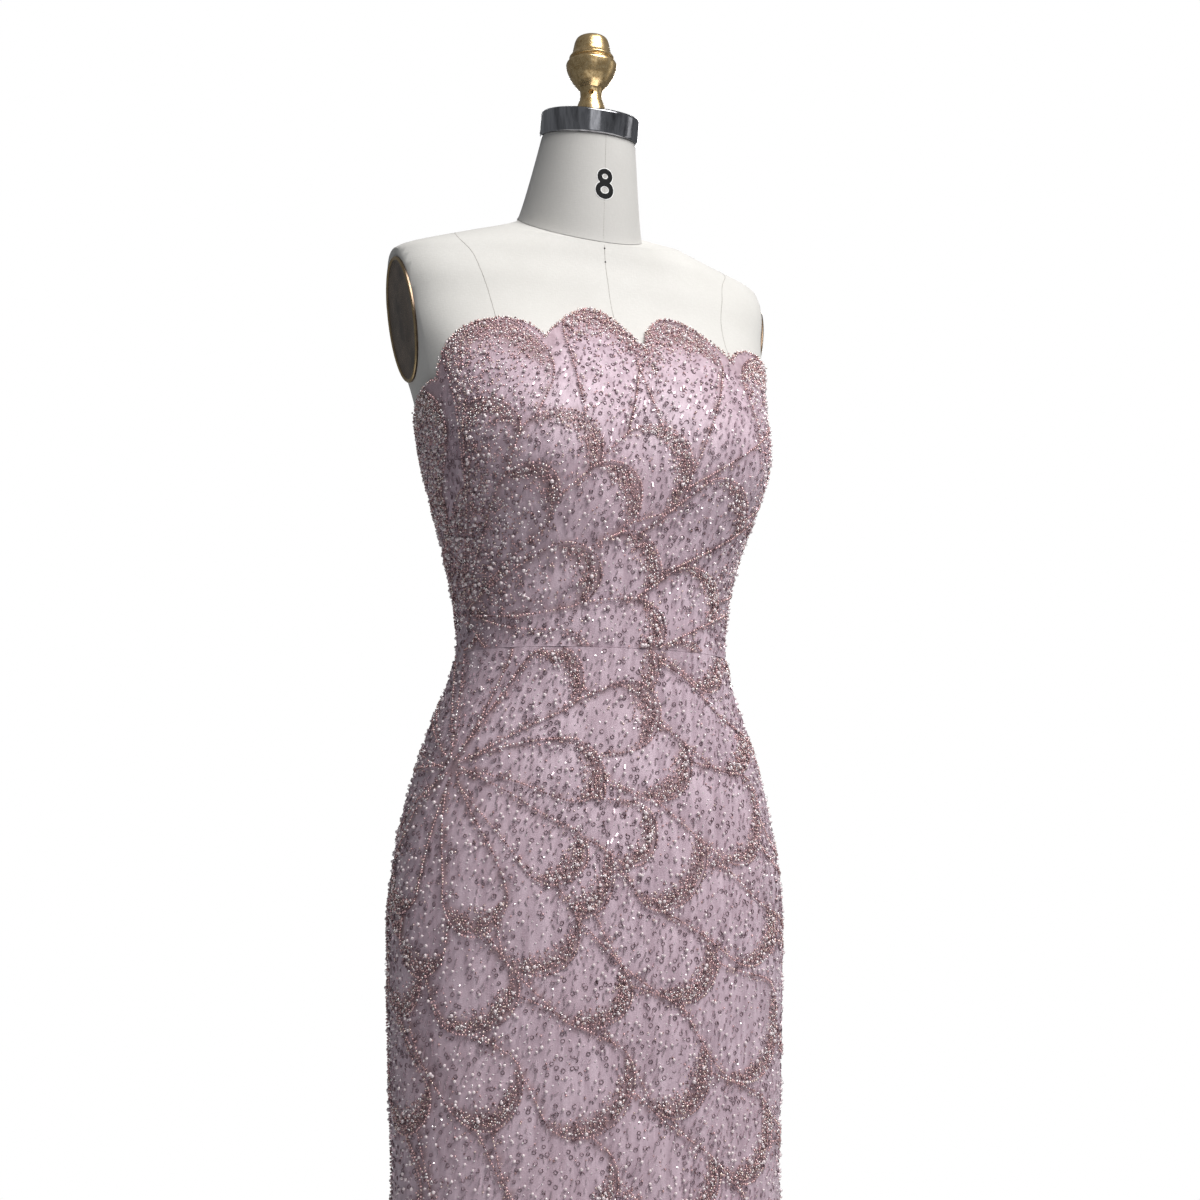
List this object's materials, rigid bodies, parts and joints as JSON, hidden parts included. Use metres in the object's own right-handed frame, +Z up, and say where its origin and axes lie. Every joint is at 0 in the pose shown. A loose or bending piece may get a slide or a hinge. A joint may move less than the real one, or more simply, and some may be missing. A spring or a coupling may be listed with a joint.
{
  "type": "mermaid evening gown on a dress form",
  "caption": "Strapless mermaid evening gown with a scalloped top edge, beaded petal pattern, fluted hem and back zip, worn on a limbless dress form with a pole and round base.",
  "frame": {"origin": "middle of the base's underside, which is also the middle of the gown's box seen from above", "axes": "+Z up, -Y to the front of the gown, +X to the wearer's left"},
  "size_m": [0.7732, 0.753, 1.6464],
  "materials": {
    "gown_cloth": "lilac pink satin under fine net, sewn with beads and pearls",
    "zip_tape": "matte tape with fine moulded teeth",
    "zip_metal": "polished",
    "form_linen": "smooth off-white linen, stretched and matte",
    "cap_chrome": "polished",
    "finial_brass": "aged gold, slightly rough",
    "arm_plate": "glossy dark bronze",
    "stand_metal": "satin black"
  },
  "bodies": {
    "gown_on_form": {"bodice_front": "gown_cloth", "bodice_back_left": "gown_cloth", "bodice_back_right": "gown_cloth", "skirt_front": "gown_cloth", "skirt_back_left": "gown_cloth", "skirt_back_right": "gown_cloth", "flare_front": "gown_cloth", "flare_back": "gown_cloth", "zip_chain": "zip_tape", "zip_slider": "zip_metal", "form_torso": "form_linen", "form_neck": "form_linen", "neck_cap": "cap_chrome", "finial": "finial_brass", "arm_plate_left": "arm_plate", "arm_plate_right": "arm_plate", "stand_pole": "stand_metal", "stand_base": "stand_metal"},
    "pull_tab": {"zip_pull": "zip_metal"}
  },
  "joints": [
    {"name": "zip_pull_swing", "type": "hinge", "parent": "gown_on_form", "child": "pull_tab", "pos_m": [0, 0.1155, 1.22649], "axis": [1, 0, 0], "range_deg": [-18, 165]}
  ]
}
